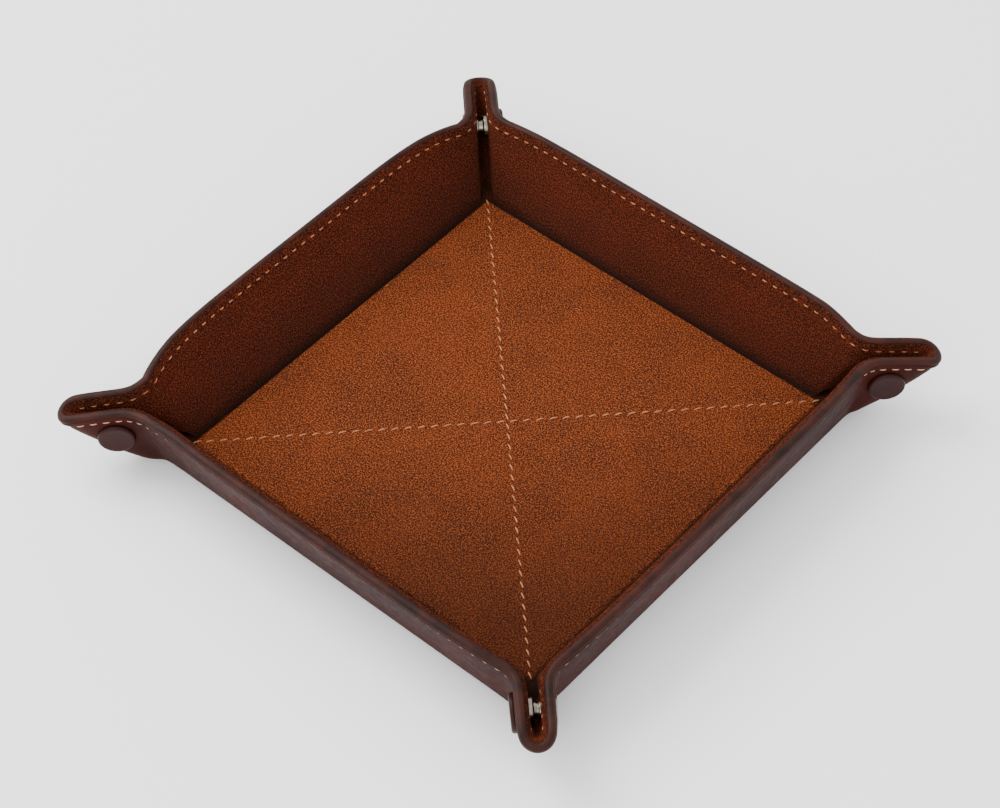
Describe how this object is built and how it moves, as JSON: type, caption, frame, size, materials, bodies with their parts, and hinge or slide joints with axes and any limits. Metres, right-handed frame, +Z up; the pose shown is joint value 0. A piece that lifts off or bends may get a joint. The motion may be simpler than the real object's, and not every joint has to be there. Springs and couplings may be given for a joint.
{
  "type": "folding dice tray",
  "caption": "Square folding tray of stitched leather lined with suede, its walls held up by a snap fastener through a pinched ear at each corner.",
  "frame": {"origin": "middle of the underside of the floor, on the surface that the tray stands on", "axes": "+Z up; +X towards the right wall and +Y towards the back wall, square to the walls, so that the ears point along the diagonals"},
  "size_m": [0.2048, 0.2048, 0.0288],
  "materials": {
    "leather": "smooth dark brown, oiled, with burnished edges",
    "suede": "rust brown suede with a short brushed nap",
    "thread": "waxed tan sewing thread",
    "snap_paint": "satin dark brown enamel",
    "nickel": "polished nickel plate"
  },
  "bodies": {
    "floor": {"floor_leather": "leather", "floor_suede": "suede", "floor_cross_stitch_thread": "thread"},
    "back_wall": {"back_wall_leather": "leather", "back_wall_suede": "suede", "back_wall_hem_thread": "thread"},
    "back_right_back_ear": {"back_right_back_ear_leather": "leather", "back_right_back_ear_suede": "suede", "back_right_back_ear_hem_thread": "thread", "back_right_snap_post": "nickel", "back_right_snap_stud": "nickel"},
    "back_left_back_ear": {"back_left_back_ear_leather": "leather", "back_left_back_ear_suede": "suede", "back_left_back_ear_hem_thread": "thread", "back_left_snap_cap": "snap_paint", "back_left_snap_socket": "nickel"},
    "left_wall": {"left_wall_leather": "leather", "left_wall_suede": "suede", "left_wall_hem_thread": "thread"},
    "back_left_left_ear": {"back_left_left_ear_leather": "leather", "back_left_left_ear_suede": "suede", "back_left_left_ear_hem_thread": "thread", "back_left_snap_post": "nickel", "back_left_snap_stud": "nickel"},
    "front_left_left_ear": {"front_left_left_ear_leather": "leather", "front_left_left_ear_suede": "suede", "front_left_left_ear_hem_thread": "thread", "front_left_snap_post": "nickel", "front_left_snap_stud": "nickel"},
    "front_wall": {"front_wall_leather": "leather", "front_wall_suede": "suede", "front_wall_hem_thread": "thread"},
    "front_left_front_ear": {"front_left_front_ear_leather": "leather", "front_left_front_ear_suede": "suede", "front_left_front_ear_hem_thread": "thread", "front_left_snap_cap": "snap_paint", "front_left_snap_socket": "nickel"},
    "front_right_front_ear": {"front_right_front_ear_leather": "leather", "front_right_front_ear_suede": "suede", "front_right_front_ear_hem_thread": "thread", "front_right_snap_cap": "snap_paint", "front_right_snap_socket": "nickel"},
    "right_wall": {"right_wall_leather": "leather", "right_wall_suede": "suede", "right_wall_hem_thread": "thread"},
    "front_right_right_ear": {"front_right_right_ear_leather": "leather", "front_right_right_ear_suede": "suede", "front_right_right_ear_hem_thread": "thread", "front_right_snap_post": "nickel", "front_right_snap_stud": "nickel"},
    "back_right_right_ear": {"back_right_right_ear_leather": "leather", "back_right_right_ear_suede": "suede", "back_right_right_ear_hem_thread": "thread", "back_right_snap_cap": "snap_paint", "back_right_snap_socket": "nickel"}
  },
  "joints": [
    {"name": "back_wall_hinge", "type": "hinge", "parent": "floor", "child": "back_wall", "pos_m": [0, 0.079, 0.002], "axis": [-1, 0, 0], "range_deg": [0, 70]},
    {"name": "back_right_back_ear_crease", "type": "hinge", "parent": "back_wall", "child": "back_right_back_ear", "pos_m": [0.07363, 0.079, 0.002], "axis": [-0.2036, -0.2036, -0.9577], "range_deg": [0, 41.5]},
    {"name": "back_left_back_ear_crease", "type": "hinge", "parent": "back_wall", "child": "back_left_back_ear", "pos_m": [-0.07363, 0.079, 0.002], "axis": [-0.2036, 0.2036, 0.9577], "range_deg": [0, 41.5]},
    {"name": "left_wall_hinge", "type": "hinge", "parent": "floor", "child": "left_wall", "pos_m": [-0.079, 0, 0.002], "axis": [0, -1, 0], "range_deg": [0, 70]},
    {"name": "back_left_left_ear_crease", "type": "hinge", "parent": "left_wall", "child": "back_left_left_ear", "pos_m": [-0.079, 0.07363, 0.002], "axis": [0.2036, -0.2036, -0.9577], "range_deg": [0, 41.5]},
    {"name": "front_left_left_ear_crease", "type": "hinge", "parent": "left_wall", "child": "front_left_left_ear", "pos_m": [-0.079, -0.07363, 0.002], "axis": [-0.2036, -0.2036, 0.9577], "range_deg": [0, 41.5]},
    {"name": "front_wall_hinge", "type": "hinge", "parent": "floor", "child": "front_wall", "pos_m": [0, -0.079, 0.002], "axis": [1, 0, 0], "range_deg": [0, 70]},
    {"name": "front_left_front_ear_crease", "type": "hinge", "parent": "front_wall", "child": "front_left_front_ear", "pos_m": [-0.07363, -0.079, 0.002], "axis": [0.2036, 0.2036, -0.9577], "range_deg": [0, 41.5]},
    {"name": "front_right_front_ear_crease", "type": "hinge", "parent": "front_wall", "child": "front_right_front_ear", "pos_m": [0.07363, -0.079, 0.002], "axis": [0.2036, -0.2036, 0.9577], "range_deg": [0, 41.5]},
    {"name": "right_wall_hinge", "type": "hinge", "parent": "floor", "child": "right_wall", "pos_m": [0.079, 0, 0.002], "axis": [0, 1, 0], "range_deg": [0, 70]},
    {"name": "front_right_right_ear_crease", "type": "hinge", "parent": "right_wall", "child": "front_right_right_ear", "pos_m": [0.079, -0.07363, 0.002], "axis": [-0.2036, 0.2036, -0.9577], "range_deg": [0, 41.5]},
    {"name": "back_right_right_ear_crease", "type": "hinge", "parent": "right_wall", "child": "back_right_right_ear", "pos_m": [0.079, 0.07363, 0.002], "axis": [0.2036, 0.2036, 0.9577], "range_deg": [0, 41.5]}
  ],
  "couplings": [
    {"joint": "back_wall_hinge", "follows": "front_wall_hinge", "ratio": 1},
    {"joint": "back_right_back_ear_crease", "follows": "front_wall_hinge", "ratio": 0.5928},
    {"joint": "back_left_back_ear_crease", "follows": "front_wall_hinge", "ratio": 0.5928},
    {"joint": "left_wall_hinge", "follows": "front_wall_hinge", "ratio": 1},
    {"joint": "back_left_left_ear_crease", "follows": "front_wall_hinge", "ratio": 0.5928},
    {"joint": "front_left_left_ear_crease", "follows": "front_wall_hinge", "ratio": 0.5928},
    {"joint": "front_left_front_ear_crease", "follows": "front_wall_hinge", "ratio": 0.5928},
    {"joint": "front_right_front_ear_crease", "follows": "front_wall_hinge", "ratio": 0.5928},
    {"joint": "right_wall_hinge", "follows": "front_wall_hinge", "ratio": 1},
    {"joint": "front_right_right_ear_crease", "follows": "front_wall_hinge", "ratio": 0.5928},
    {"joint": "back_right_right_ear_crease", "follows": "front_wall_hinge", "ratio": 0.5928}
  ]
}
